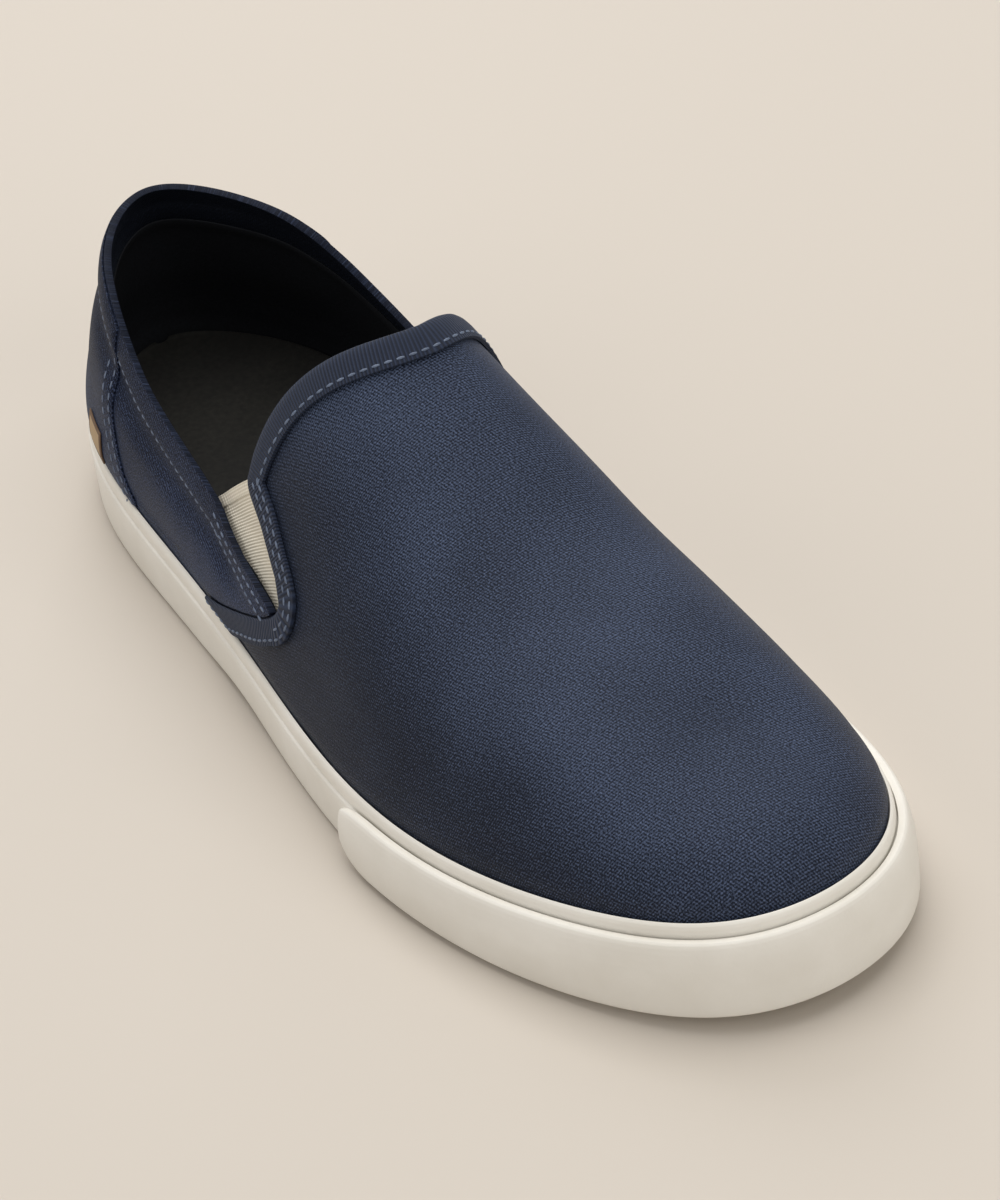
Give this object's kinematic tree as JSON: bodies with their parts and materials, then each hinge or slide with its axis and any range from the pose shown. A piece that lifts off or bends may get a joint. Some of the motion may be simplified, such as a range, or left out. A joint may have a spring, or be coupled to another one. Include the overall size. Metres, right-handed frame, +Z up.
{
  "type": "slip-on sneaker",
  "caption": "Low canvas slip-on shoe with elastic side gores, ribbed throat binding, rubber foxing and toe bumper on a flat rubber sole.",
  "frame": {"origin": "on the floor, below the middle of the shoe's bounding box", "axes": "+X towards the toe, +Y towards the inner side of the foot, +Z up"},
  "size_m": [0.2956, 0.1054, 0.094],
  "materials": {
    "outsole_rubber": "matte",
    "rim_rubber": "satin",
    "navy_canvas": "matte twill",
    "navy_tape": "matte ribbed",
    "cream_elastic": "matte ribbed",
    "black_sock": "satin",
    "tan_label": "matte"
  },
  "bodies": {
    "root": {"outsole": "outsole_rubber", "foxing": "rim_rubber", "toe_bumper": "rim_rubber", "upper": "navy_canvas", "throat_binding": "navy_tape", "gore_lateral": "cream_elastic", "gore_medial": "cream_elastic", "heel_counter": "navy_canvas", "heel_label": "tan_label", "insole": "black_sock"}
  },
  "joints": []
}
